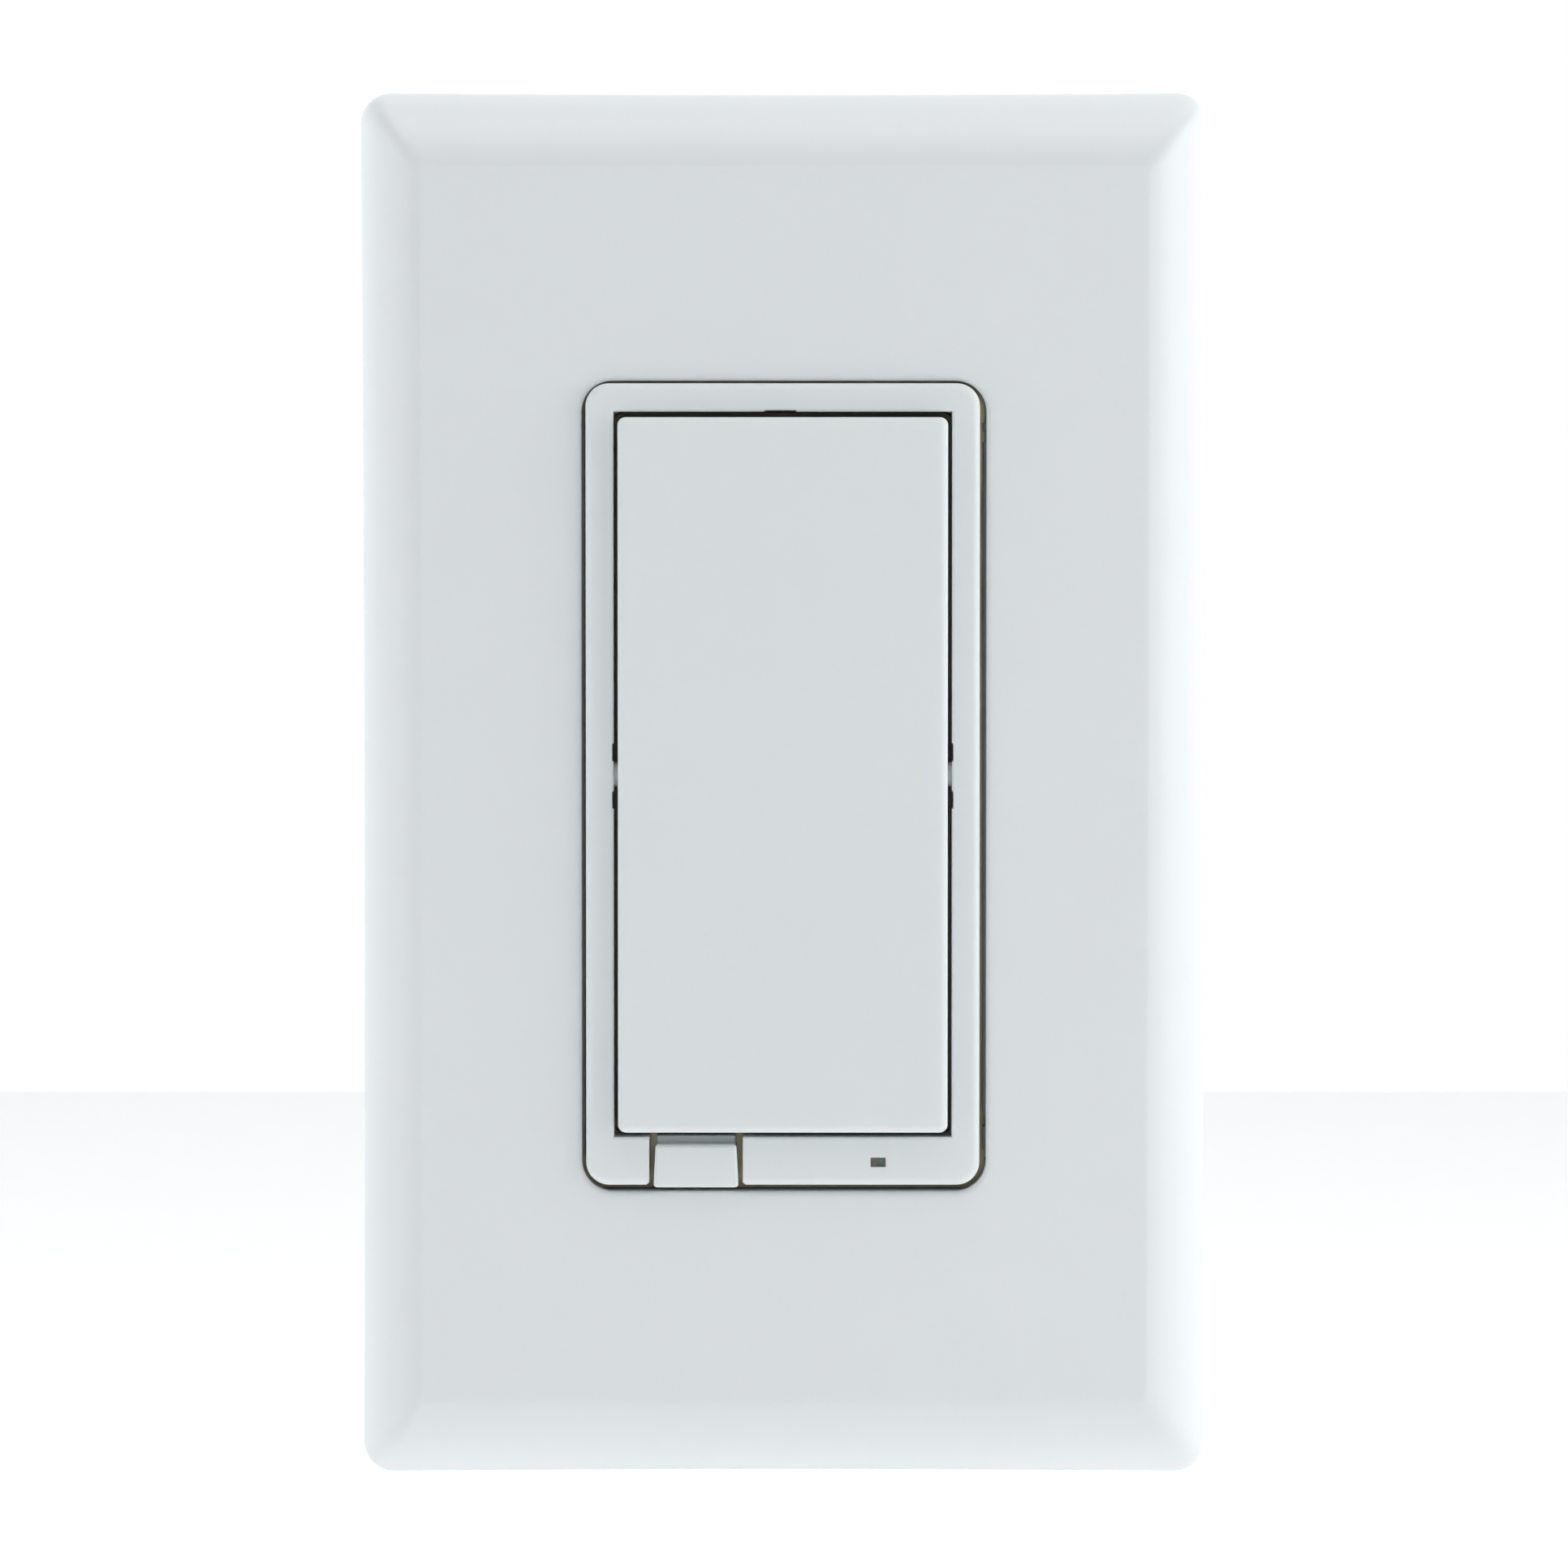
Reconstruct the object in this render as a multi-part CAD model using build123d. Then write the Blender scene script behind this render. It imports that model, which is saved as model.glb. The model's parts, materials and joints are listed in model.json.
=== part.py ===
from build123d import *
import os

# Paddle dimmer with a screwless wall plate. Millimetres. X right, +Y into the wall, +Z up.
# The origin is the middle of the two box screws, on the wall's surface. The front faces -Y.

# Wall plate: a standard one-gang screwless decorator plate.
plate_width = 69.85
plate_height = 114.3
plate_front = 5.6
plate_wall = 1.6
plate_rim = 1.3
bevel_side = 5.0
bevel_end = 6.15
bevel_bulge = 0.75
plate_corner = 2.6
plate_mitre_round = 2.0
plate_bow = 0.2
plate_shift_x = 0.1
plate_shift_z = -0.2
opening_width = 33.3
opening_height = 66.8
opening_corner = 2.55
lip_round = 0.35
hook_z = 30.0
hook_length = 8.0

# Sub plate: flat frame screwed to the yoke, which the wall plate hooks on to.
sub_width = 59.0
sub_height = 102.0
sub_front = 3.0
sub_window_width = 32.9
sub_window_height = 66.9
sub_corner = 3.0

# Yoke: the steel strap. Its back lies on the wall's surface.
yoke_thick = 1.2
yoke_width = 44.0
yoke_body_height = 72.0
ear_width = 34.0
ear_height = 94.0
tip_width = 21.0
tip_height = 106.0
box_screw_spacing = 83.3
box_slot_width = 4.2
box_slot_length = 7.0
plate_screw_spacing = 96.84
screw_hole = 1.8
screw_shank = 1.7
screw_neck = 1.3
screw_neck_end = -0.05
washer_thick = 0.6
washer_radius = 3.4
window_half = 14.2
window_low = -29.1
window_high = 30.7

# Bezel: the white frame around the paddle.
bezel_width = 32.4
bezel_height = 66.0
bezel_front = 6.6
bezel_corner = 1.9
bezel_round = 0.6
bezel_notch = 0.12
paddle_window_width = 27.8
paddle_window_height = 59.7
axis_z = 0.82

# Paddle and its pivot.
paddle_width = 27.1
paddle_height = 58.8
paddle_front = 7.9
paddle_dish = 0.25
dish_half = 2.6
paddle_corner = 0.67
paddle_round = 0.6
paddle_wall = 1.3
paddle_skirt = 3.2
pivot_y = -4.9
pivot_radius = 1.0
pivot_clearance = 0.05
pivot_reach = 15.0
post_offset = 20.0
post_radius = 1.5
post_tip = 3.12

# Push switches behind the paddle.
switch_size = 6.0
switch_front = 2.2
stem_radius = 1.6
stem_clearance = 0.15
stem_front = 3.0
stem_length = 2.0

# Air-gap tab, at the lower left.
tab_x = -7.15
tab_top = -29.65
tab_bottom = -33.17
tab_half_top = 3.33
tab_half_bottom = 3.5
tab_front = 6.75
tab_ledge_front = 4.6
tab_ledge_top = -29.08
tab_back = 2.0
slot_half = 3.85
tab_stem_half = 2.3
tab_stem_low = -32.4
tab_stem_high = -30.1
bridge_y = 4.0
bridge_thick = 0.6

# Status light, at the lower right.
light_x = 7.85
light_z = -31.1
light_width = 1.23
light_height = 0.78
light_recess = 0.35

# Rear housing and the boards in it.
housing_width = 44.0
housing_height = 70.0
housing_depth = 30.0
housing_corner = 2.0
housing_wall = 1.6
cavity_half = 15.6
cavity_half_height = 33.2
board_front = 1.4
board_back = 2.6
power_front = 14.0
power_back = 15.6
terminal_z = 14.0
terminal_y = 13.0
pocket_half = 5.0
pocket_floor = 16.8
wire_x = 18.75
wire_offset = 3.1
wire_radius = 1.2
housing_screw_x = 18.9
housing_screw_z = 31.5


def block(x, y, z):
    """A box from its low and high limits along each axis."""
    size = Box(x[1] - x[0], y[1] - y[0], z[1] - z[0])
    return Pos((x[0] + x[1]) / 2, (y[0] + y[1]) / 2, (z[0] + z[1]) / 2) * size


def soft_block(x, y, z, radius):
    """A box whose edges along Y are rounded."""
    body = block(x, y, z)
    return fillet(body.edges().filter_by(Axis.Y), radius)


def centred_block(width, y, height, radius):
    """A soft block about the origin in X and Z."""
    return soft_block((-width / 2, width / 2), y, (-height / 2, height / 2), radius)


def rod_x(x, y, z, radius):
    """A round rod along X, from x[0] to x[1]."""
    return Pos((x[0] + x[1]) / 2, y, z) * Rot(0, 90, 0) * Cylinder(radius, x[1] - x[0])


def rod_y(x, y, z, radius):
    """A round rod along Y, from y[0] to y[1]."""
    return Pos(x, (y[0] + y[1]) / 2, z) * Rot(90, 0, 0) * Cylinder(radius, y[1] - y[0])


def rod_z(x, y, z, radius):
    """A round rod along Z, from z[0] to z[1]."""
    return Pos(x, y, (z[0] + z[1]) / 2) * Cylinder(radius, z[1] - z[0])


def prism_y(points, y):
    """A prism along Y over a polygon of (x, z) points."""
    outline = make_face(Polyline([(px, y[0], pz) for px, pz in points], close=True))
    return extrude(outline, amount=y[1] - y[0], dir=(0, 1, 0))


def bevel_face(half, front, rim, bevel, place):
    """The plate's section: square rim, curved bevels, flat front. place turns (across, y) into a point."""
    mid_across = half - bevel / 2 + bevel_bulge * 0.7
    mid_y = -(front + rim) / 2 - bevel_bulge * 0.7
    lines = [
        Line(place(-half, 0), place(-half, -rim)),
        ThreePointArc(place(-half, -rim), place(-mid_across, mid_y), place(bevel - half, -front)),
        Line(place(bevel - half, -front), place(half - bevel, -front)),
        ThreePointArc(place(half - bevel, -front), place(mid_across, mid_y), place(half, -rim)),
        Line(place(half, -rim), place(half, 0)),
        Line(place(half, 0), place(-half, 0)),
    ]
    return make_face(lines)


def bowed_outline(half_x, half_z, bow):
    """The plate's outline on the wall, its four edges bowed slightly inwards."""
    corners = [(-half_x, -half_z), (half_x, -half_z), (half_x, half_z), (-half_x, half_z)]
    middles = [(0, bow - half_z), (half_x - bow, 0), (0, half_z - bow), (bow - half_x, 0)]
    lines = []
    for number, middle in enumerate(middles):
        start = corners[number]
        end = corners[(number + 1) % 4]
        points = [(x, 0, z) for x, z in (start, middle, end)]
        lines.append(ThreePointArc(*points))
    return make_face(lines)


def is_mitre(edge, half_x, half_z):
    """True for a slanted edge in a corner of the plate, where two bevels meet."""
    span = edge.bounding_box().size
    at = edge.center()
    in_corner = abs(at.X) > half_x - bevel_side and abs(at.Z) > half_z - bevel_end
    return in_corner and span.X > 1 and span.Z > 1


def pillow(half_x, half_z, front, rim, corner, bow, mitre_round=0):
    """A pillowed slab: bevels along both directions meet in mitres at the corners."""
    side_face = bevel_face(half_x, front, rim, bevel_side, lambda a, y: (a, y, 0))
    end_face = bevel_face(half_z, front, rim, bevel_end, lambda a, y: (0, y, a))
    across = extrude(side_face, amount=half_z, dir=(0, 0, 1), both=True)
    along = extrude(end_face, amount=half_x, dir=(1, 0, 0), both=True)
    edge = extrude(bowed_outline(half_x, half_z, bow), amount=front, dir=(0, -1, 0))
    edge = fillet(edge.edges().filter_by(Axis.Y), corner)
    slab = across & along
    if mitre_round:
        slab = fillet([e for e in slab.edges() if is_mitre(e, half_x, half_z)], mitre_round)
    return slab & edge


def wall_plate():
    outer = (plate_width / 2, plate_height / 2, plate_front, plate_rim, plate_corner, plate_bow)
    body = pillow(*outer, plate_mitre_round)
    half_x = plate_width / 2 - plate_wall
    half_z = plate_height / 2 - plate_wall
    inner_corner = plate_corner - plate_wall / 2
    body -= pillow(half_x, half_z, plate_front - plate_wall, plate_rim, inner_corner, plate_bow)
    half_w = opening_width / 2
    half_h = opening_height / 2
    body -= soft_block((-half_w, half_w), (-plate_front - 1, 1), (-half_h, half_h), opening_corner)
    front = body.edges().group_by(Axis.Y)[0]
    lip = [e for e in front if abs(e.center().X) < half_w + 1 and abs(e.center().Z) < half_h + 1]
    body = fillet(lip, lip_round)
    for side in (-1, 1):
        for z in (-hook_z, hook_z):
            reach = sorted((side * (sub_width / 2 - 0.6), side * (half_x + 0.5)))
            body += block(reach, (-1.0, -0.2), (z - hook_length / 2, z + hook_length / 2))
    return Pos(plate_shift_x, 0, plate_shift_z) * body


def sub_plate():
    half_x = sub_width / 2
    half_z = sub_height / 2
    depth = (-sub_front, -yoke_thick)
    body = soft_block((-half_x, half_x), depth, (-half_z, half_z), sub_corner)
    half_w = sub_window_width / 2
    half_h = sub_window_height / 2
    window = soft_block((-half_w, half_w), (-sub_front - 1, 0), (-half_h, half_h), 1.5)
    body -= Pos(plate_shift_x, 0, plate_shift_z) * window
    for z in (-32.0, -28.0, 28.6, 30.2, 31.8):
        body -= block((half_w - 0.5, half_w + 1.2), (-sub_front - 1, 0), (z - 0.45, z + 0.45))
    for side in (-1, 1):
        body -= rod_y(0, (-4, 0), side * box_screw_spacing / 2, 4.4)
        body -= rod_y(0, (-4, 0), side * plate_screw_spacing / 2, screw_hole)
        body -= rod_y(0, (-4, -1.7), side * plate_screw_spacing / 2, 3.4)
        for x in (-housing_screw_x, housing_screw_x):
            body -= rod_y(x, (-4, 0), side * housing_screw_z, 2.6)
        for z in (-22.0, 0.0, 22.0):
            relief = sorted((side * 20.0, side * 28.0))
            body -= soft_block(relief, (-4, -1.9), (z - 9.0, z + 9.0), 1.2)
        for x in (-19.0, 19.0):
            body -= soft_block((x - 8.0, x + 8.0), (-4, -1.9), sorted((side * 38.0, side * 49.0)), 1.2)
    return body


def yoke():
    depth = (-yoke_thick, 0)
    body = centred_block(yoke_width, depth, yoke_body_height, 1.5)
    body += centred_block(ear_width, depth, ear_height, 2.0)
    body += centred_block(tip_width, depth, tip_height, 2.0)
    body += soft_block((-15.2, -14.0), (-0.5, 11.0), (-45.5, -37.5), 0.4)
    body -= soft_block((-window_half, window_half), (-2, 1), (window_low, window_high), 1.0)
    body -= block((tab_x - 2.8, tab_x + 2.8), (-2, 1), (-32.9, -29.6))
    body -= block((light_x - 1.2, light_x + 1.2), (-2, 1), (light_z - 1.0, light_z + 1.0))
    for side in (-1, 1):
        z = side * box_screw_spacing / 2
        straight = (box_slot_length - box_slot_width) / 2
        body -= block((-straight, straight), (-2, 1), (z - box_slot_width / 2, z + box_slot_width / 2))
        for x in (-straight, straight):
            body -= rod_y(x, (-2, 1), z, box_slot_width / 2)
        body -= rod_y(0, (-2, 1), side * plate_screw_spacing / 2, screw_hole)
        for x in (-housing_screw_x, housing_screw_x):
            body -= rod_y(x, (-2, 1), side * housing_screw_z, 1.25)
    body -= rod_x((-17, -13), 6.0, -41.5, screw_hole)
    return body


def cross_recess_y(x, y, z):
    """The cutter for a screw's cross drive, for a head facing -Y."""
    bar = block((x - 2.0, x + 2.0), y, (z - 0.4, z + 0.4))
    return bar + block((x - 0.4, x + 0.4), y, (z - 2.0, z + 2.0))


def cross_recess_x(x, y, z):
    """The cutter for a screw's cross drive, for a head facing along X."""
    bar = block(x, (y - 2.0, y + 2.0), (z - 0.4, z + 0.4))
    return bar + block(x, (y - 0.4, y + 0.4), (z - 2.0, z + 2.0))


def pan_screw_y(z, head, head_radius, length, radius):
    """A screw along +Y whose head starts at head[0] and seats at head[1]."""
    cap = rod_y(0, head, z, head_radius)
    cap = fillet(cap.edges().group_by(Axis.Y)[0], 0.5)
    return cap + rod_y(0, (head[1], length), z, radius) - cross_recess_y(0, (head[0] - 1, head[0] + 0.9), z)


def box_screws():
    """The shank has a thin neck in the washer and yoke, so that it is held captive."""
    screws = []
    seat = -yoke_thick - washer_thick
    neck = (seat, screw_neck_end)
    for z in (-box_screw_spacing / 2, box_screw_spacing / 2):
        screw = pan_screw_y(z, (seat - 1.9, seat), 3.5, 22.0, screw_shank)
        screws.append(screw - (rod_y(0, neck, z, screw_shank + 1) - rod_y(0, neck, z, screw_neck)))
    return screws


def sub_plate_screws():
    half = plate_screw_spacing / 2
    return [pan_screw_y(z, (-3.0, -1.7), 3.2, 6.0, screw_shank) for z in (-half, half)]


def screw_washers():
    washers = []
    for side in (-1, 1):
        z = side * box_screw_spacing / 2
        disc = rod_y(0, (-yoke_thick - washer_thick, -yoke_thick), z, washer_radius)
        washers.append(disc - rod_y(0, (-4, 2), z, screw_hole))
    return washers


def housing_screws():
    screws = []
    for x in (-housing_screw_x, housing_screw_x):
        for side in (-1, 1):
            z = side * housing_screw_z
            cap = rod_y(x, (-2.2, -yoke_thick), z, 2.2)
            cap = fillet(cap.edges().group_by(Axis.Y)[0], 0.3)
            cap -= cross_recess_y(x, (-3, -1.7), z)
            screws.append(cap + rod_y(x, (-yoke_thick, 12), z, 1.2))
    return screws


def bezel():
    half_x = bezel_width / 2
    half_z = bezel_height / 2
    depth = (-bezel_front, -yoke_thick)
    body = soft_block((-half_x, half_x), depth, (-half_z, half_z), bezel_corner)
    body = fillet(body.edges().group_by(Axis.Y)[0], bezel_round)
    half_w = paddle_window_width / 2
    low = axis_z - paddle_window_height / 2
    high = axis_z + paddle_window_height / 2
    body -= block((-half_w, half_w), (-9, 0), (low, high))
    front = body.edges().group_by(Axis.Y)[0]
    rim = [e for e in front if abs(e.center().X) < half_w + 0.1 and low - 0.1 < e.center().Z < high + 0.1]
    body = fillet(rim, 0.25)
    left = tab_x - slot_half
    right = tab_x + slot_half
    outline = [
        (left, low + 0.5),
        (left, 0.25 - half_z),
        (left - 0.25, -half_z),
        (left - 0.25, -half_z - 1),
        (right + 0.25, -half_z - 1),
        (right + 0.25, -half_z),
        (right, 0.25 - half_z),
        (right, low + 0.5),
    ]
    body -= prism_y(outline, (-9, 0))
    body -= block(
        (light_x - light_width / 2, light_x + light_width / 2),
        (-9, 0),
        (light_z - light_height / 2, light_z + light_height / 2),
    )
    body -= block((-1.5, 1.1), (-9, -3), (high - 0.5, high + bezel_notch))
    for side in (-1, 1):
        bore = sorted((side * (half_w - 1), side * (pivot_reach + 0.3)))
        body -= rod_x(bore, pivot_y, axis_z, pivot_radius + pivot_clearance)
        notch = sorted((side * (half_w - 1), side * (half_w + bezel_notch)))
        body -= block(notch, (-9, -2.5), (axis_z + 1.15, axis_z + 2.6))
        body -= block(notch, (-9, -2.5), (axis_z - 2.75, axis_z - 1.35))
    return body


def paddle():
    half_x = paddle_width / 2
    half_z = paddle_height / 2
    front = -paddle_front
    flat = front + paddle_dish * (1 - dish_half / half_z)
    lines = [
        Line((0, front, half_z), (0, flat, dish_half)),
        ThreePointArc((0, flat, dish_half), (0, front + paddle_dish * 0.94, 0), (0, flat, -dish_half)),
        Line((0, flat, -dish_half), (0, front, -half_z)),
        Line((0, front, -half_z), (0, -paddle_skirt, -half_z)),
        Line((0, -paddle_skirt, -half_z), (0, -paddle_skirt, half_z)),
        Line((0, -paddle_skirt, half_z), (0, front, half_z)),
    ]
    body = extrude(make_face(lines), amount=half_x, dir=(1, 0, 0), both=True)
    corners = [e for e in body.edges().filter_by(Axis.Y) if abs(abs(e.center().X) - half_x) < 0.01]
    body = fillet(corners, paddle_corner)
    faces = [f for f in body.faces() if f.center().Y < -paddle_front + 0.6 and f.normal_at().Y < -0.9]
    edges = [e for e in ShapeList(e for f in faces for e in f.edges()) if outer_edge(e, half_x, half_z)]
    body = fillet(edges, paddle_round)
    inner_x = half_x - paddle_wall
    inner_z = half_z - paddle_wall
    body -= block((-inner_x, inner_x), (-6.2, 0), (-inner_z, inner_z))
    for side in (-1, 1):
        body += block((-inner_x - 0.2, inner_x + 0.2), (-6.8, -5.4), (side * 8.0 - 0.5, side * 8.0 + 0.5))
        body += rod_y(0, (-6.8, -post_tip), side * post_offset, post_radius)
        body += rod_x(sorted((side * inner_x, side * pivot_reach)), pivot_y, 0, pivot_radius)
    return Pos(0, 0, axis_z) * body


def outer_edge(edge, half_x, half_z):
    """True on the paddle's front outline, false on the dish's lines across it."""
    at = edge.center()
    return abs(at.X) > half_x - 0.8 or abs(at.Z) > half_z - 0.8


def air_gap_tab():
    points = [
        (tab_x - tab_half_top, tab_top),
        (tab_x + tab_half_top, tab_top),
        (tab_x + tab_half_bottom, tab_bottom),
        (tab_x - tab_half_bottom, tab_bottom),
    ]
    body = prism_y(points, (-tab_front, -tab_back))
    body = fillet(body.edges().filter_by(Axis.Y), 0.3)
    body = chamfer(body.edges().group_by(Axis.Y)[0], 0.18)
    ledge = (tab_x - tab_half_top + 0.1, tab_x + tab_half_top - 0.1)
    body += block(ledge, (-tab_ledge_front, -tab_back), (tab_top - 0.5, tab_ledge_top))
    stem = (tab_x - tab_stem_half, tab_x + tab_stem_half)
    return body + block(stem, (-tab_back - 0.5, bridge_y), (tab_stem_low, tab_stem_high))


def air_gap_bridge():
    x = (tab_x - 4.0, tab_x + 4.0)
    return soft_block(x, (bridge_y, bridge_y + bridge_thick), (tab_stem_low + 0.2, tab_stem_high), 0.5)


def air_gap_contacts():
    contacts = []
    face = bridge_y + bridge_thick + 0.05
    for side in (-1, 1):
        x = tab_x + side * 3.0
        button = rod_y(x, (face, face + 0.8), -31.2, 0.8)
        contacts.append(button + block((x - 0.9, x + 0.9), (face + 0.8, power_front), (-31.6, -30.8)))
    return contacts


def light_pipe():
    half_w = light_width / 2 - 0.03
    half_h = light_height / 2 - 0.03
    x = (light_x - half_w, light_x + half_w)
    return block(x, (light_recess - bezel_front, 0.6), (light_z - half_h, light_z + half_h))


def status_led():
    return block((light_x - 0.8, light_x + 0.8), (0.7, board_front), (light_z - 0.6, light_z + 0.6))


def front_chassis():
    body = soft_block((-14.1, 14.1), (-1.15, 0.1), (window_low + 0.1, window_high - 0.1), 0.9)
    for side in (-1, 1):
        z = axis_z + side * post_offset
        half = switch_size / 2 + 0.2
        body -= block((-half, half), (-2, 1), (z - half, z + half))
        for x in (-11.0, 11.0):
            body += rod_y(x, (0, board_front), side * 26.0, 1.5)
    return body


def control_board():
    body = block((-13.6, 13.6), (board_front, board_back), (-32.6, 30.2))
    return body - block((-14, -2.4), (0, 4), (-33, -28.6))


def switch_body(side):
    z = axis_z + side * post_offset
    half = switch_size / 2
    body = soft_block((-half, half), (-switch_front, board_front), (z - half, z + half), 0.4)
    return body - rod_y(0, (-switch_front - 1, 0.5), z, stem_radius + stem_clearance)


def switch_stem(side):
    z = axis_z + side * post_offset
    body = rod_y(0, (-stem_front, stem_length - stem_front), z, stem_radius)
    return chamfer(body.edges().group_by(Axis.Y)[0], 0.2)


def radio_board():
    return block((-8, 8), (board_back, 3.4), (4, 26))


def radio_shield():
    body = soft_block((-7, 7), (3.4, 5.4), (5, 20), 0.5)
    return fillet(body.edges().group_by(Axis.Y)[-1], 0.3)


def microcontroller():
    return block((-3.5, 3.5), (board_back, 3.5), (-12.5, -5.5))


def header_pins():
    length = (board_back, power_front)
    return [block((9.0, 9.64), length, (z - 0.32, z + 0.32)) for z in spread(-6.35, 2.54, 6)]


def spread(first, step, count):
    """Evenly spaced positions."""
    return [first + step * number for number in range(count)]


def power_board():
    return block((-15.2, 15.2), (power_front, power_back), (-32.6, 31.0))


def heat_spreader():
    return block((-11, 11), (0, 25.0), (31.5, 32.9))


def thermal_pad():
    return block((-6, 6), (16.2, 24.8), (31.2, 31.5))


def triac():
    body = block((-5.1, 5.1), (16.0, 24.8), (26.8, 31.2))
    for x in (-2.54, 0, 2.54):
        body += block((x - 0.4, x + 0.4), (power_back, 16.2), (28.6, 29.1))
    return chamfer(body.edges().group_by(Axis.Y)[-1], 0.4)


def choke():
    return Pos(-6, 10.9, -17) * Rot(90, 0, 0) * Torus(5.2, 3.0)


def film_capacitor():
    return soft_block((4.0, 13.0), (5.6, power_front), (-24, -11), 0.6)


def electrolytic_capacitor():
    body = rod_z(-10.0, 9.8, (-7.5, 5.0), 4.1)
    return fillet(body.edges().group_by(Axis.Z)[0], 0.5)


def transformer_core():
    body = block((-3.5, 9.5), (6.6, power_front), (8.5, 24.5))
    return body - block((-0.8, 6.8), (6, 15), (11.5, 21.5))


def transformer_coil():
    return soft_block((-0.7, 6.7), (6.4, power_front), (11.6, 21.4), 1.0)


def varistor():
    body = rod_z(-7.0, 21.2, (-24, -20.2), 4.8)
    return fillet(body.edges().group_by(Axis.Z)[0], 0.8)


def fuse():
    return rod_x((-4, 8), 18.0, -8.0, 2.2)


def rear_housing():
    half_x = housing_width / 2
    half_z = housing_height / 2
    body = soft_block((-half_x, half_x), (0, housing_depth), (-half_z, half_z), housing_corner)
    body = fillet(body.edges().group_by(Axis.Y)[-1], 1.0)
    inner_depth = housing_depth - housing_wall
    body -= block((-cavity_half, cavity_half), (-1, inner_depth), (-cavity_half_height, cavity_half_height))
    for side in (-1, 1):
        for place in (-1, 1):
            z = place * terminal_z
            pocket = sorted((side * pocket_floor, side * (half_x + 1)))
            span = (terminal_y - pocket_half, terminal_y + pocket_half)
            body -= block(pocket, span, (z - pocket_half, z + pocket_half))
            body -= rod_y(side * wire_x, (terminal_y, housing_depth + 1), z + wire_offset, wire_radius)
        for z in (-housing_screw_z, housing_screw_z):
            body -= rod_y(side * housing_screw_x, (-1, 13), z, 1.25)
    for z in spread(-24.0, 8.0, 7):
        body -= block((-9, 9), (inner_depth - 1, housing_depth + 1), (z - 0.6, z + 0.6))
    return body


def terminal_places():
    return [(side, place * terminal_z) for side in (-1, 1) for place in (-1, 1)]


def terminal_plates():
    plates = []
    for side, z in terminal_places():
        x = sorted((side * pocket_floor, side * 17.6))
        plate = block(x, (8.6, 17.4), (z - 4.6, z + 4.6))
        plates.append(plate - rod_x((-30, 30), terminal_y, z, screw_hole))
    return plates


def wire_clamps():
    clamps = []
    for side, z in terminal_places():
        x = sorted((side * 19.97, side * 20.9))
        clamp = block(x, (8.8, 17.2), (z - 4.5, z + 4.5))
        clamps.append(clamp - rod_x((-30, 30), terminal_y, z, screw_hole))
    return clamps


def terminal_screws(side):
    screws = []
    for place in (-1, 1):
        z = place * terminal_z
        cap = rod_x(sorted((side * 20.9, side * 22.9)), terminal_y, z, 3.7)
        cap += rod_x(sorted((side * 16.9, side * 21.0)), terminal_y, z, screw_shank)
        screws.append(cap - cross_recess_x(sorted((side * 22.0, side * 24.0)), terminal_y, z))
    return screws


def ground_screw():
    cap = rod_x((-17.2, -15.2), 6.0, -41.5, 3.6) + rod_x((-15.3, -9.0), 6.0, -41.5, screw_shank)
    return cap - cross_recess_x((-18, -16.4), 6.0, -41.5)


def write(name, shape):
    """Write one sub-part, made of one solid or of a list of separate solids."""
    if isinstance(shape, list):
        shape = Compound(children=[solid for piece in shape for solid in piece.solids()])
    export_step(shape, "parts/" + name + ".step")


os.makedirs("parts", exist_ok=True)
write("wall_plate", wall_plate())
write("sub_plate", sub_plate())
write("yoke", yoke())
write("box_screws", box_screws())
write("sub_plate_screws", sub_plate_screws())
write("screw_washers", screw_washers())
write("housing_screws", housing_screws())
write("bezel", bezel())
write("paddle", paddle())
write("air_gap_tab", air_gap_tab())
write("air_gap_bridge", air_gap_bridge())
write("air_gap_contacts", air_gap_contacts())
write("light_pipe", light_pipe())
write("status_led", status_led())
write("front_chassis", front_chassis())
write("control_board", control_board())
write("upper_switch_body", switch_body(1))
write("lower_switch_body", switch_body(-1))
write("upper_switch_stem", switch_stem(1))
write("lower_switch_stem", switch_stem(-1))
write("radio_board", radio_board())
write("radio_shield", radio_shield())
write("microcontroller", microcontroller())
write("header_pins", header_pins())
write("power_board", power_board())
write("heat_spreader", heat_spreader())
write("thermal_pad", thermal_pad())
write("triac", triac())
write("choke", choke())
write("film_capacitor", film_capacitor())
write("electrolytic_capacitor", electrolytic_capacitor())
write("transformer_core", transformer_core())
write("transformer_coil", transformer_coil())
write("varistor", varistor())
write("fuse", fuse())
write("rear_housing", rear_housing())
write("terminal_plates", terminal_plates())
write("wire_clamps", wire_clamps())
write("brass_screws", terminal_screws(1))
write("silver_screws", terminal_screws(-1))
write("ground_screw", ground_screw())
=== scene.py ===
import json
import math

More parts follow.
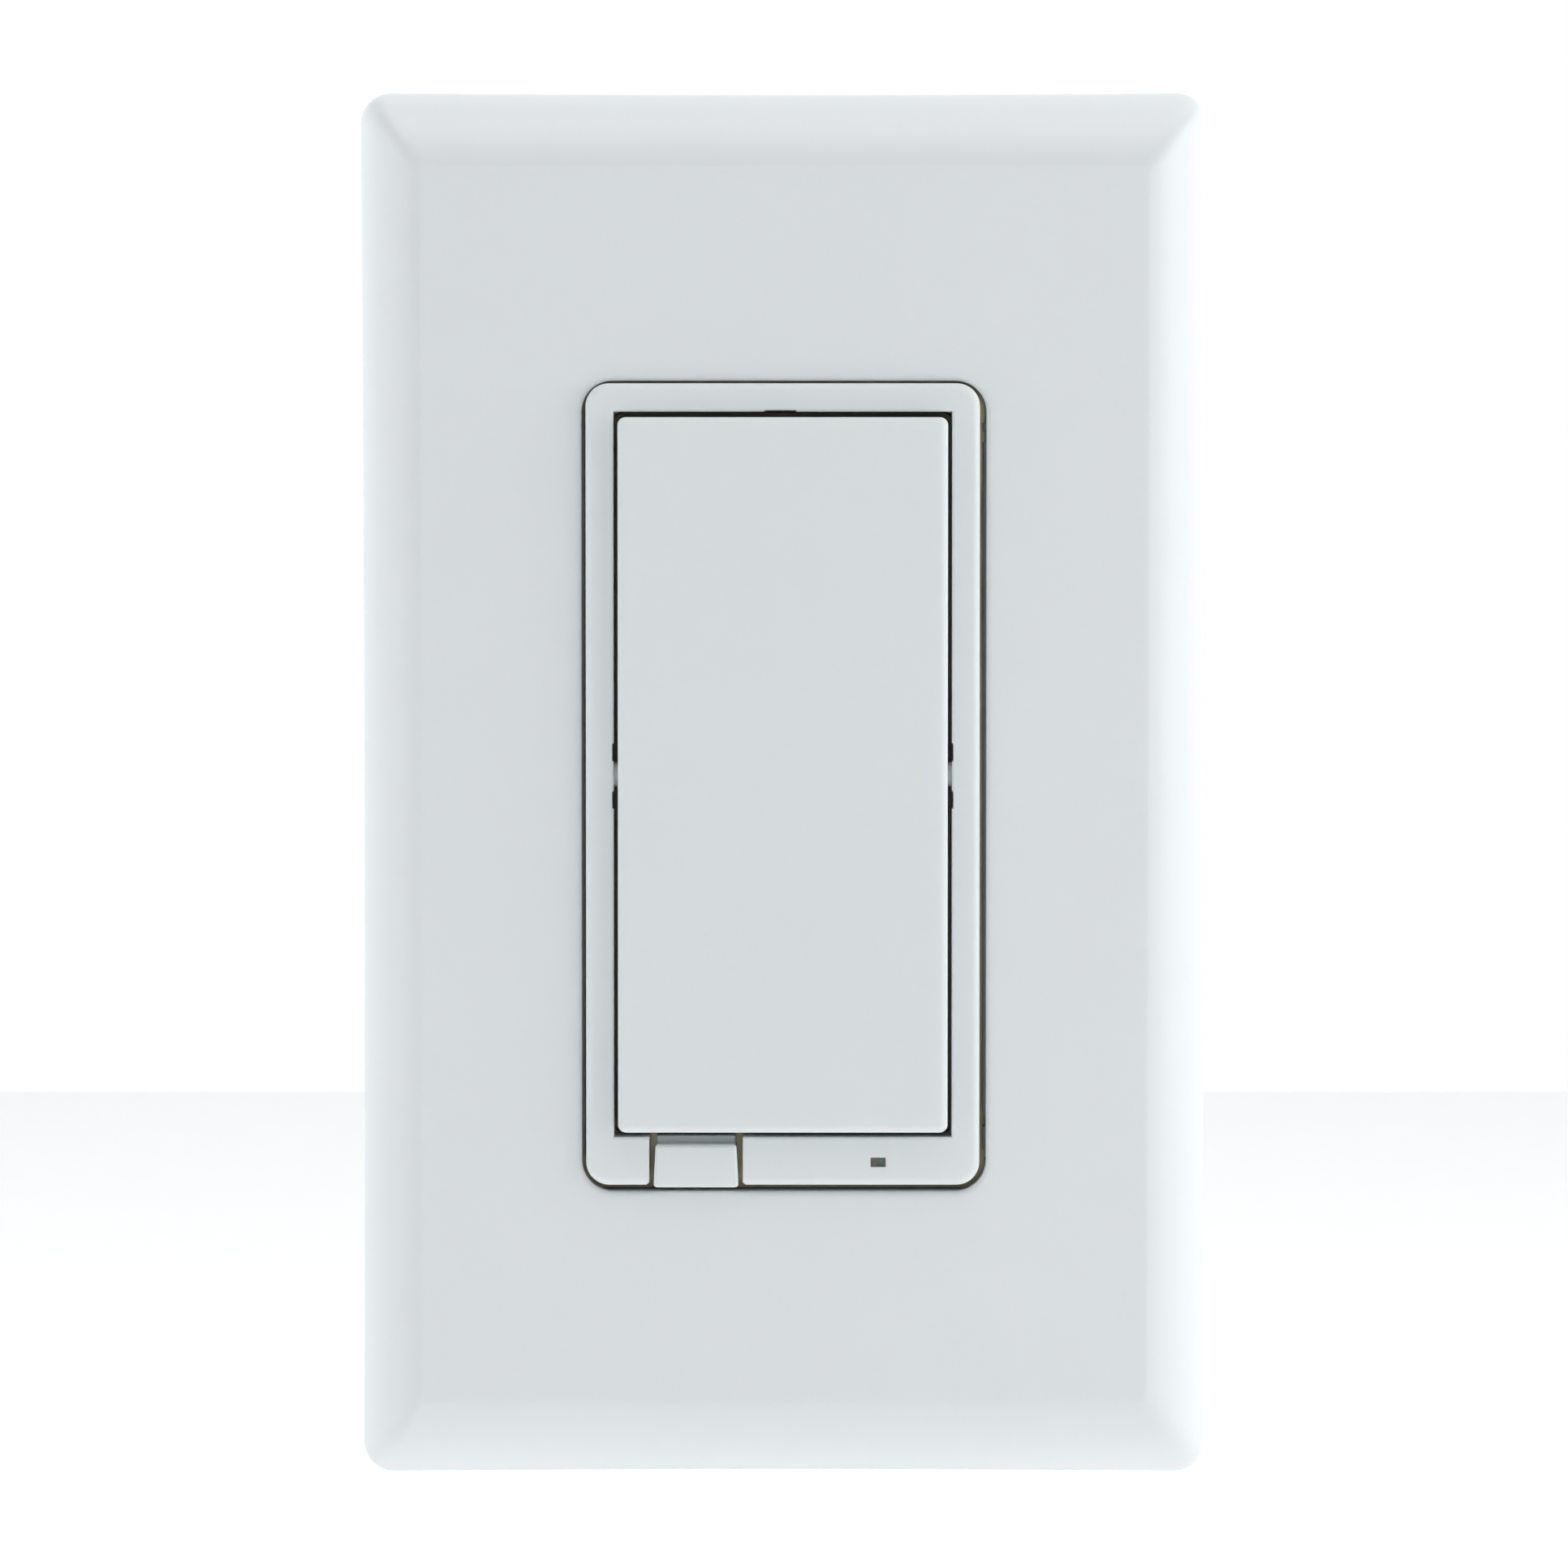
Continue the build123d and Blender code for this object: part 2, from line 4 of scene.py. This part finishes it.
import bmesh
import bpy
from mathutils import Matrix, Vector


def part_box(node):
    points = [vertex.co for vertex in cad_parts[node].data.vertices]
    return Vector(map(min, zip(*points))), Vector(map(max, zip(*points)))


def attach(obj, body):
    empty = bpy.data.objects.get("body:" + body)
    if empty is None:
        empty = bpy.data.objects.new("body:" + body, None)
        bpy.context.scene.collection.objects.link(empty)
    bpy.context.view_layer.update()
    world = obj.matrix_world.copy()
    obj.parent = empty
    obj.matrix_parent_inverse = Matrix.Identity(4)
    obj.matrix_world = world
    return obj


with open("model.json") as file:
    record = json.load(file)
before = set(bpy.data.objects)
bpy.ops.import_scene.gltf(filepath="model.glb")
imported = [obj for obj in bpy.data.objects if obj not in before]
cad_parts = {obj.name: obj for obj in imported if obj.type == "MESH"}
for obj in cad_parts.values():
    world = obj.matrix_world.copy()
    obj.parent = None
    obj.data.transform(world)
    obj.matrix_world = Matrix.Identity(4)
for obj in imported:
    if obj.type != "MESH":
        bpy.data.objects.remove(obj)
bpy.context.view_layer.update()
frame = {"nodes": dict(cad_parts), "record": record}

nodes = frame["nodes"]

MM = 0.001


# ---------------------------------------------------------------- shader building blocks

def new_material(name):
    """An empty node material with a Principled shader, and its object coordinates."""
    material = bpy.data.materials.new(name)
    material.use_nodes = True
    tree = material.node_tree
    tree.nodes.clear()
    output = tree.nodes.new("ShaderNodeOutputMaterial")
    shader = tree.nodes.new("ShaderNodeBsdfPrincipled")
    tree.links.new(shader.outputs["BSDF"], output.inputs["Surface"])
    coords = tree.nodes.new("ShaderNodeTexCoord").outputs["Object"]
    return material, tree, shader, coords


def mapped(tree, coords, scale=(1, 1, 1), turn=(0, 0, 0)):
    """Object coordinates multiplied along each axis and turned."""
    mapping = tree.nodes.new("ShaderNodeMapping")
    mapping.inputs["Scale"].default_value = scale
    mapping.inputs["Rotation"].default_value = turn
    tree.links.new(coords, mapping.inputs["Vector"])
    return mapping.outputs["Vector"]


def noise(tree, coords, size_mm, detail=3.0, roughness=0.55):
    """Noise whose features are about size_mm across."""
    node = tree.nodes.new("ShaderNodeTexNoise")
    node.inputs["Scale"].default_value = 1.0 / (size_mm * MM)
    node.inputs["Detail"].default_value = detail
    node.inputs["Roughness"].default_value = roughness
    tree.links.new(coords, node.inputs["Vector"])
    return node.outputs["Fac"]


def remap(tree, value, low, high, start=0.3, end=0.7):
    """value from start..end to low..high."""
    node = tree.nodes.new("ShaderNodeMapRange")
    node.inputs["From Min"].default_value = start
    node.inputs["From Max"].default_value = end
    node.inputs["To Min"].default_value = low
    node.inputs["To Max"].default_value = high
    tree.links.new(value, node.inputs["Value"])
    return node.outputs["Result"]


def ramp(tree, value, stops):
    """A colour ramp with (position, colour) stops."""
    node = tree.nodes.new("ShaderNodeValToRGB")
    band = node.color_ramp
    band.elements[0].position, band.elements[0].color = stops[0][0], (*stops[0][1], 1)
    band.elements[1].position, band.elements[1].color = stops[-1][0], (*stops[-1][1], 1)
    for position, colour in stops[1:-1]:
        band.elements.new(position).color = (*colour, 1)
    tree.links.new(value, node.inputs["Fac"])
    return node.outputs["Color"]


def bump(tree, shader, height, depth_mm, strength, edge_mm=0.0):
    """Bump from a height, over edges that are rounded by edge_mm."""
    node = tree.nodes.new("ShaderNodeBump")
    node.inputs["Strength"].default_value = strength
    node.inputs["Distance"].default_value = depth_mm * MM
    tree.links.new(height, node.inputs["Height"])
    if edge_mm:
        edge = tree.nodes.new("ShaderNodeBevel")
        edge.samples = EDGE_SAMPLES
        edge.inputs["Radius"].default_value = edge_mm * MM
        tree.links.new(edge.outputs["Normal"], node.inputs["Normal"])
    tree.links.new(node.outputs["Normal"], shader.inputs["Normal"])


def shade(colour, factor):
    return tuple(min(1.0, c * factor) for c in colour)


# ---------------------------------------------------------------- materials

EDGE_SAMPLES = 6

CLOUD_MM = 14.0                     # patches of slightly lighter and darker plastic
WANDER_MM = 4.0                     # patches of slightly rougher and smoother plastic
WANDER_ROUGH = 0.03
PLASTIC_IOR = 1.5
SCATTER_SHARE = 0.35
SCATTER_TINT = (1.0, 0.95, 0.85)
COAT_ROUGH = 0.12

STREAK_MM = 0.5                     # streaks along a metal's grain, before stretching
STAIN_MM = 5.0
STREAK_SHARE = 0.5
STREAK_DEPTH_MM = 0.02
STREAK_STRENGTH = 0.25
METAL_EDGE_MM = 0.12

TRACK_LENGTH_MM = 3.1
TRACK_PITCH_MM = 1.27
TRACK_GAP_MM = 0.16
TRACK_DEPTH_MM = 0.04
TRACK_STRENGTH = 0.5
MASK_GREEN = (0.012, 0.09, 0.035)
TRACK_GREEN = (0.03, 0.19, 0.075)
WEAVE_MM = 0.4

HAZE_MM = 0.5
HAZE_DEPTH_MM = 0.02
HAZE_STRENGTH = 0.2

FLECK_MM = 1.5
FLECK_STRETCH = (1, 1, 5)
FLECK_DEPTH_MM = 0.08
FLECK_STRENGTH = 0.6


def plastic(name, colour, rough, grain_mm, depth_mm, strength, edge_mm=0.2, vary=0.012, coat=0.0,
            scatter_mm=0.0):
    """Moulded plastic: cloudy colour, fine grain, and roughness that wanders a little."""
    material, tree, shader, coords = new_material(name)
    cloud = noise(tree, coords, CLOUD_MM, 2.0)
    stops = [(0.3, shade(colour, 1 - vary)), (0.5, colour), (0.7, shade(colour, 1 + vary))]
    tree.links.new(ramp(tree, cloud, stops), shader.inputs["Base Color"])
    wander = noise(tree, coords, WANDER_MM, 4.0)
    roughness = remap(tree, wander, rough - WANDER_ROUGH, rough + WANDER_ROUGH)
    tree.links.new(roughness, shader.inputs["Roughness"])
    grain = noise(tree, coords, grain_mm, 2.0, 0.6)
    bump(tree, shader, grain, depth_mm, strength, edge_mm)
    shader.inputs["IOR"].default_value = PLASTIC_IOR
    shader.inputs["Subsurface Weight"].default_value = SCATTER_SHARE if scatter_mm else 0.0
    shader.inputs["Subsurface Radius"].default_value = SCATTER_TINT
    shader.inputs["Subsurface Scale"].default_value = scatter_mm * MM
    shader.inputs["Coat Weight"].default_value = coat
    shader.inputs["Coat Roughness"].default_value = COAT_ROUGH
    return material


def metal(name, colour, rough, grain):
    """Plated or rolled metal: streaks along the grain, small stains and fine scratches."""
    material, tree, shader, coords = new_material(name)
    streak = noise(tree, mapped(tree, coords, grain), STREAK_MM, 5.0, 0.6)
    stain = noise(tree, coords, STAIN_MM, 5.0, 0.6)
    mix = tree.nodes.new("ShaderNodeMath")
    mix.operation = "MULTIPLY_ADD"
    mix.inputs[1].default_value = STREAK_SHARE
    tree.links.new(streak, mix.inputs[0])
    tree.links.new(remap(tree, stain, 0.0, 1 - STREAK_SHARE, 0.25, 0.75), mix.inputs[2])
    stops = [(0.25, shade(colour, 0.8)), (0.5, colour), (0.8, shade(colour, 1.12))]
    tree.links.new(ramp(tree, mix.outputs[0], stops), shader.inputs["Base Color"])
    tree.links.new(remap(tree, streak, rough - 0.08, rough + 0.12), shader.inputs["Roughness"])
    bump(tree, shader, streak, STREAK_DEPTH_MM, STREAK_STRENGTH, METAL_EDGE_MM)
    shader.inputs["Metallic"].default_value = 1.0
    return material


def circuit_board(name):
    """Green solder mask over raised tracks, with a glass weave under it."""
    material, tree, shader, coords = new_material(name)
    tracks = tree.nodes.new("ShaderNodeTexBrick")
    tracks.inputs["Scale"].default_value = 1.0
    tracks.inputs["Brick Width"].default_value = TRACK_LENGTH_MM * MM
    tracks.inputs["Row Height"].default_value = TRACK_PITCH_MM * MM
    tracks.inputs["Mortar Size"].default_value = TRACK_GAP_MM * MM
    flat = mapped(tree, coords, turn=(math.radians(90), 0, 0))
    tree.links.new(flat, tracks.inputs["Vector"])
    green = ramp(tree, tracks.outputs["Fac"], [(0.0, MASK_GREEN), (1.0, TRACK_GREEN)])
    tree.links.new(green, shader.inputs["Base Color"])
    weave = noise(tree, coords, WEAVE_MM, 1.0)
    tree.links.new(remap(tree, weave, 0.3, 0.42), shader.inputs["Roughness"])
    bump(tree, shader, tracks.outputs["Fac"], TRACK_DEPTH_MM, TRACK_STRENGTH)
    return material


def light_plastic(name):
    """The light guide's end: cloudy grey and unlit."""
    material, tree, shader, coords = new_material(name)
    haze = noise(tree, coords, HAZE_MM, 3.0)
    stops = [(0.3, (0.13, 0.14, 0.12)), (0.7, (0.17, 0.175, 0.155))]
    tree.links.new(ramp(tree, haze, stops), shader.inputs["Base Color"])
    tree.links.new(remap(tree, haze, 0.2, 0.32), shader.inputs["Roughness"])
    bump(tree, shader, haze, HAZE_DEPTH_MM, HAZE_STRENGTH)
    return material


def fibre(name):
    """Pressed fibre washer: long flecks and a dry, pitted surface."""
    material, tree, shader, coords = new_material(name)
    fleck = noise(tree, mapped(tree, coords, FLECK_STRETCH), FLECK_MM, 6.0, 0.7)
    stops = [(0.3, (0.36, 0.20, 0.10)), (0.55, (0.55, 0.35, 0.19)), (0.75, (0.68, 0.48, 0.29))]
    tree.links.new(ramp(tree, fleck, stops), shader.inputs["Base Color"])
    tree.links.new(remap(tree, fleck, 0.75, 0.95), shader.inputs["Roughness"])
    bump(tree, shader, fleck, FLECK_DEPTH_MM, FLECK_STRENGTH)
    return material


PLASTICS = {
    "plate_plastic": dict(colour=(0.800, 0.832, 0.852), rough=0.34, grain_mm=0.5, depth_mm=0.004,
                          strength=0.03, edge_mm=0.45, vary=0.003, scatter_mm=0.8),
    "sub_plastic": dict(colour=(0.62, 0.63, 0.58), rough=0.55, grain_mm=0.2, depth_mm=0.02,
                        strength=0.2, edge_mm=0.15),
    "device_plastic": dict(colour=(0.785, 0.826, 0.832), rough=0.44, grain_mm=0.16, depth_mm=0.02,
                           strength=0.16, vary=0.004, scatter_mm=0.8),
    "frame_plastic": dict(colour=(0.50, 0.48, 0.34), rough=0.5, grain_mm=0.25, depth_mm=0.02,
                          strength=0.2, vary=0.05),
    "dark_plastic": dict(colour=(0.022, 0.023, 0.025), rough=0.52, grain_mm=0.22, depth_mm=0.03,
                         strength=0.35, vary=0.15),
    "coil_tape": dict(colour=(0.62, 0.42, 0.06), rough=0.4, grain_mm=0.8, depth_mm=0.05,
                      strength=0.3, vary=0.08),
    "cap_blue": dict(colour=(0.03, 0.10, 0.34), rough=0.25, grain_mm=1.2, depth_mm=0.04,
                     strength=0.3, vary=0.08, coat=0.4),
    "aluminium_sleeve": dict(colour=(0.02, 0.024, 0.03), rough=0.3, grain_mm=0.8, depth_mm=0.03,
                             strength=0.3, vary=0.1),
    "fuse_ceramic": dict(colour=(0.72, 0.68, 0.58), rough=0.5, grain_mm=0.2, depth_mm=0.02,
                         strength=0.3, vary=0.03),
    "ferrite": dict(colour=(0.045, 0.045, 0.05), rough=0.6, grain_mm=0.1, depth_mm=0.04,
                    strength=0.5, edge_mm=0.1, vary=0.15),
    "pad": dict(colour=(0.3, 0.32, 0.34), rough=0.8, grain_mm=0.3, depth_mm=0.03,
                strength=0.4, edge_mm=0.05, vary=0.05),
}
ALONG_X, ALONG_Y, ALONG_Z = (0.05, 1, 1), (1, 0.05, 1), (1, 1, 0.05)
METALS = {
    "zinc_steel": dict(colour=(0.62, 0.57, 0.38), rough=0.40, grain=ALONG_Z),
    "screw_steel": dict(colour=(0.62, 0.61, 0.58), rough=0.30, grain=ALONG_Y),
    "aluminium": dict(colour=(0.80, 0.81, 0.83), rough=0.38, grain=ALONG_Y),
    "brass": dict(colour=(0.72, 0.52, 0.20), rough=0.32, grain=ALONG_X),
    "green_steel": dict(colour=(0.08, 0.42, 0.17), rough=0.34, grain=ALONG_X),
}
OTHERS = {"board": circuit_board, "clear_light": light_plastic, "fibre": fibre}

MATERIALS = {slot: plastic(slot, **look) for slot, look in PLASTICS.items()}
MATERIALS.update({slot: metal(slot, **look) for slot, look in METALS.items()})
MATERIALS.update({slot: make(slot) for slot, make in OTHERS.items()})

for part in frame["record"]["subparts"]:
    mesh = nodes[part["node"]].data
    mesh.materials.clear()
    mesh.materials.append(MATERIALS[part["material_slot"]])


# ---------------------------------------------------------------- added pieces

# A No. 6 screw's thread, 32 turns to the inch. The section's points are shares of the pitch
# along the shank and of the depth out from it: a root, the crest and the next root.
THREAD_RADIUS = 1.68
THREAD_PITCH = 0.794
THREAD_DEPTH = 0.32
THREAD_SECTION = ((-0.42, -0.04), (0.0, 1.0), (0.42, -0.04))
THREAD_STEPS = 28
THREAD_TAPER = 6.0                  # the crest fades in and out over a sixth of the length

BOX_SCREW_HEAD = 3.5                # radii of the heads
PLATE_SCREW_HEAD = 3.2
BOX_THREAD_START = 0.8
BOX_THREAD_SHORT = 1.6              # start, and the plain point past the thread, together
PLATE_THREAD_START = 0.5
PLATE_THREAD_SHORT = 1.0
GROUND_THREAD_START = -13.5
GROUND_THREAD_PAST = 12.9           # its length, less the X of the screw's tip

SQUARE = ((-1, -1), (1, -1), (1, 1), (-1, 1))
SEAM_CORNER = 2.0
SEAM_Y = 3.2
SEAM_HALF = 0.35

RIB_XS = (-14.0, -7.0, 7.0, 14.0)
RIB_START = 5.0
RIB_END = 27.0
RIB_HEIGHT = 0.7
RIB_SLOPE = 2.0
RIB_HALF_WIDTH = 0.5
RIB_SINK = 0.05


def mesh_piece(name, make, material, body="base", smooth=True):
    """A new object whose mesh is filled by make(bm)."""
    bm = bmesh.new()
    make(bm)
    bmesh.ops.recalc_face_normals(bm, faces=bm.faces)
    mesh = bpy.data.meshes.new(name)
    bm.to_mesh(mesh)
    bm.free()
    mesh.materials.append(MATERIALS[material])
    mesh.polygons.foreach_set("use_smooth", [smooth] * len(mesh.polygons))
    piece = bpy.data.objects.new(name, mesh)
    bpy.context.scene.collection.objects.link(piece)
    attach(piece, body)
    return piece


def bridge(bm, first, second):
    """Faces all round between two closed rows of points."""
    count = len(first)
    for k in range(count):
        after = (k + 1) % count
        bm.faces.new((first[k], first[after], second[after], second[k]))


def thread(bm, start, length, axis):
    """A helical ridge round a shank, tapering in at both ends. axis is 0 for X or 1 for Y."""
    total = int(length / THREAD_PITCH * THREAD_STEPS)
    rows = []
    for number in range(total + 1):
        angle = 2 * math.pi * number / THREAD_STEPS
        along = length * number / total
        ends = (THREAD_TAPER * number / total, THREAD_TAPER * (total - number) / total)
        fade = min(1.0, *ends)
        row = []
        for shift, height in THREAD_SECTION:
            reach = THREAD_RADIUS + THREAD_DEPTH * height * (fade if height > 0 else 1)
            point = list(start)
            point[axis] += along + shift * THREAD_PITCH
            point[1 - axis] += reach * math.cos(angle)
            point[2] += reach * math.sin(angle)
            row.append(bm.verts.new([c * MM for c in point]))
        rows.append(row)
    for first, second in zip(rows, rows[1:]):
        bridge(bm, first, second)
    bm.faces.new(rows[0])
    bm.faces.new(rows[-1][::-1])


def add_thread_pair(name, box, head, start, short):
    """Threads on a pair of screws along Y, one at each end of their node's box."""
    low, high = box
    for place, z in (("lower", low[2] / MM + head), ("upper", high[2] / MM - head)):
        mesh_piece(
            f"{name}_{place}",
            lambda bm: thread(bm, (0, start, z), high[1] / MM - short, 1),
            "screw_steel",
        )


def add_ground_thread():
    """The thread on the ground screw, which lies along X."""
    low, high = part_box("ground_screw")
    y, z = ((low[k] + high[k]) / 2 / MM for k in (1, 2))
    length = high[0] / MM + GROUND_THREAD_PAST
    mesh_piece(
        "ground_screw_thread",
        lambda bm: thread(bm, (GROUND_THREAD_START, y, z), length, 0),
        "green_steel",
    )


def ring_bar(bm, outline, half):
    """A closed bar of square section, half to each side of the outline's (x, y, z) points in mm."""
    rows = []
    count = len(outline)
    side = Vector((0, 1, 0))
    for number in range(count):
        before, at, after = (Vector(outline[(number + k) % count]) for k in (-1, 0, 1))
        out = (after - before).normalized().cross(side).normalized()
        corners = [(at + out * a * half + side * b * half) * MM for a, b in SQUARE]
        rows.append([bm.verts.new(corner) for corner in corners])
    for number in range(count):
        bridge(bm, rows[number], rows[(number + 1) % count])


def rounded_outline(half_x, half_z, radius, y, steps=6):
    """Points round a rounded rectangle in the XZ plane."""
    points = []
    for turn, (sx, sz) in enumerate(((1, 1), (-1, 1), (-1, -1), (1, -1))):
        for step in range(steps + 1):
            angle = math.radians(90 * turn + 90 * step / steps)
            x = sx * (half_x - radius) + radius * math.cos(angle)
            z = sz * (half_z - radius) + radius * math.sin(angle)
            points.append((x, y, z))
    return points


def add_housing_seam():
    """The moulded bead round the rear housing, near its open end."""
    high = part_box("rear_housing")[1]
    seam = rounded_outline(high[0] / MM, high[2] / MM, SEAM_CORNER, SEAM_Y)
    mesh_piece("housing_bead", lambda bm: ring_bar(bm, seam, SEAM_HALF), "dark_plastic")


def rib(bm, x, z, side):
    """A low moulded rib along Y on the housing's end wall, with a sloped far end."""
    section = (
        (RIB_START, 0.0),
        (RIB_START, RIB_HEIGHT),
        (RIB_END - RIB_SLOPE, RIB_HEIGHT),
        (RIB_END, 0.0),
    )
    rows = []
    for a in (x - RIB_HALF_WIDTH, x + RIB_HALF_WIDTH):
        row = [(a * MM, y * MM, (z + side * h - side * RIB_SINK) * MM) for y, h in section]
        rows.append([bm.verts.new(point) for point in row])
    bm.faces.new(rows[0])
    bm.faces.new(rows[1][::-1])
    bridge(bm, *rows)


def add_housing_ribs():
    """Four flat-shaded ribs on each end wall."""
    low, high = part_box("rear_housing")
    for place, z, side in (("upper", high[2] / MM, 1), ("lower", low[2] / MM, -1)):
        for number, x in enumerate(RIB_XS):
            mesh_piece(
                f"housing_rib_{place}_{number + 1}",
                lambda bm: rib(bm, x, z, side),
                "dark_plastic",
                smooth=False,
            )


add_thread_pair("box_screw_thread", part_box("box_screws"),
                BOX_SCREW_HEAD, BOX_THREAD_START, BOX_THREAD_SHORT)
add_thread_pair("plate_screw_thread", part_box("sub_plate_screws"),
                PLATE_SCREW_HEAD, PLATE_THREAD_START, PLATE_THREAD_SHORT)
add_ground_thread()
add_housing_seam()
add_housing_ribs()


# ---------------------------------------------------------------- stage, light and camera

WORLD_IN_FRONT = 0.04
WORLD_BEHIND = 1.48
WORLD_COLOUR = (0.97, 0.99, 1.0, 1)
WHITE = (1, 1, 1, 1)

SOFTBOXES = {
    "key_right": dict(place=(0.66, -0.24, 0.06), size=(0.45, 0.75), power=2.95),
    "fill_left": dict(place=(-0.66, -0.24, 0.04), size=(0.45, 0.75), power=1.7),
    "top": dict(place=(0.05, -0.26, 0.68), size=(0.8, 0.45), power=2.5),
    "front": dict(place=(0.05, -0.85, 0.07), size=(0.16, 0.16), power=0.17),
}

FLOOR_HEIGHT = -0.085
FLOOR_HALF = 0.7
FLOOR_COLOUR = (0.9, 0.9, 0.9, 1)
FLOOR_GLOW = 0.13
FLOOR_SPECK_MM = 3.0

ELEVATION = math.radians(2.6)
DISTANCE = 0.6565
FIELD_WIDTH = 0.1302                # of the picture, at the plate
SENSOR_WIDTH = 36.0
CLIP_START = 0.01


def softbox(name, place, size, power):
    """A rectangular light aimed at the origin."""
    light = bpy.data.lights.new(name, "AREA")
    light.shape = "RECTANGLE"
    light.size, light.size_y = size
    light.energy = power
    lamp = bpy.data.objects.new(name, light)
    lamp.location = place
    lamp.rotation_euler = (-Vector(place)).to_track_quat("-Z", "Y").to_euler()
    bpy.context.scene.collection.objects.link(lamp)


def white_world():
    """White where the camera sees it. As a light it is dimmer in front of the object."""
    world = bpy.data.worlds.new("studio")
    world.use_nodes = True
    tree = world.node_tree
    tree.nodes.clear()
    output = tree.nodes.new("ShaderNodeOutputWorld")
    seen = tree.nodes.new("ShaderNodeBackground")
    lit = tree.nodes.new("ShaderNodeBackground")
    seen.inputs["Strength"].default_value = 1.0
    facing = tree.nodes.new("ShaderNodeSeparateXYZ")
    tree.links.new(tree.nodes.new("ShaderNodeTexCoord").outputs["Generated"], facing.inputs[0])
    strength = remap(tree, facing.outputs["Y"], WORLD_IN_FRONT, WORLD_BEHIND, -0.05, 0.15)
    tree.links.new(strength, lit.inputs["Strength"])
    seen.inputs["Color"].default_value = WHITE
    lit.inputs["Color"].default_value = WORLD_COLOUR
    mix = tree.nodes.new("ShaderNodeMixShader")
    tree.links.new(tree.nodes.new("ShaderNodeLightPath").outputs["Is Camera Ray"], mix.inputs[0])
    tree.links.new(lit.outputs[0], mix.inputs[1])
    tree.links.new(seen.outputs[0], mix.inputs[2])
    tree.links.new(mix.outputs[0], output.inputs["Surface"])
    bpy.context.scene.world = world


def pale_floor(height, half):
    """A plain pale floor with a slight glow of its own."""
    mesh = bpy.data.meshes.new("floor")
    corners = [(a * half, b * half, height) for a, b in SQUARE]
    mesh.from_pydata(corners, [], [(0, 1, 2, 3)])
    material, tree, shader, coords = new_material("floor")
    speck = noise(tree, coords, FLOOR_SPECK_MM)
    tree.links.new(remap(tree, speck, 0.6, 0.8), shader.inputs["Roughness"])
    shader.inputs["Base Color"].default_value = FLOOR_COLOUR
    shader.inputs["Emission Color"].default_value = WHITE
    shader.inputs["Emission Strength"].default_value = FLOOR_GLOW
    mesh.materials.append(material)
    floor = bpy.data.objects.new("floor", mesh)
    bpy.context.scene.collection.objects.link(floor)


def add_camera():
    """A camera a little above the plate, aimed at the middle of its back."""
    low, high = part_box("wall_plate")
    target = Vector(((low[0] + high[0]) / 2, high[1], (low[2] + high[2]) / 2))
    lens = bpy.data.cameras.new("camera")
    lens.sensor_width = SENSOR_WIDTH
    lens.lens = SENSOR_WIDTH * DISTANCE / FIELD_WIDTH
    lens.clip_start = CLIP_START
    camera = bpy.data.objects.new("camera", lens)
    away = Vector((0, -math.cos(ELEVATION), math.sin(ELEVATION)))
    camera.location = target + away * DISTANCE
    camera.rotation_euler = (target - camera.location).to_track_quat("-Z", "Y").to_euler()
    bpy.context.scene.collection.objects.link(camera)
    bpy.context.scene.camera = camera


white_world()
for name, box in SOFTBOXES.items():
    softbox(name, **box)
pale_floor(FLOOR_HEIGHT, FLOOR_HALF)
add_camera()

view = bpy.context.scene.view_settings
view.view_transform = "Standard"
view.look = "None"
view.exposure = 0.0
view.gamma = 1.0
